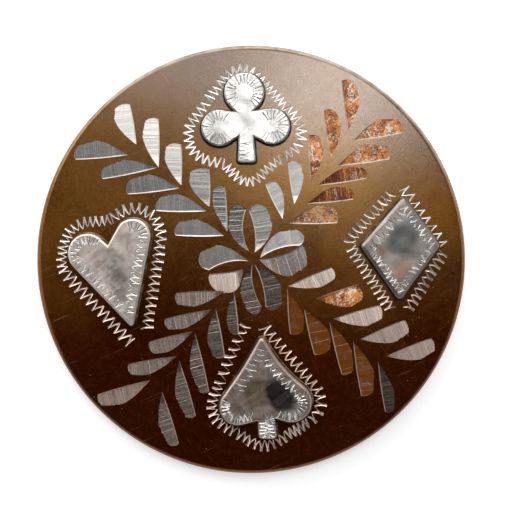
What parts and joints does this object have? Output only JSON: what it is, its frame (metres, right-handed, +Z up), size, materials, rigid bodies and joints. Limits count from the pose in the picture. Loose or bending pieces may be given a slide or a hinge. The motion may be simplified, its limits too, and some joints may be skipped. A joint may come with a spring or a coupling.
{
  "type": "dealer button",
  "caption": "Crowned steel disc with four raised silver card suits, engraved with leaf sprays and a flower; lies flat in front of the dealer.",
  "frame": {"origin": "centre of the flat underside", "axes": "+Z up out of the crowned face, +Y towards the club, +X towards the diamond"},
  "size_m": [0.0635, 0.0634, 0.0052],
  "materials": {
    "browned_steel": "satin",
    "silver": "polished",
    "solder": "satin"
  },
  "bodies": {
    "root": {"steel_disc": "browned_steel", "silver_heart": "silver", "silver_club": "silver", "silver_diamond": "silver", "silver_spade": "silver", "heart_solder": "solder", "club_solder": "solder", "diamond_solder": "solder", "spade_solder": "solder"}
  },
  "joints": []
}
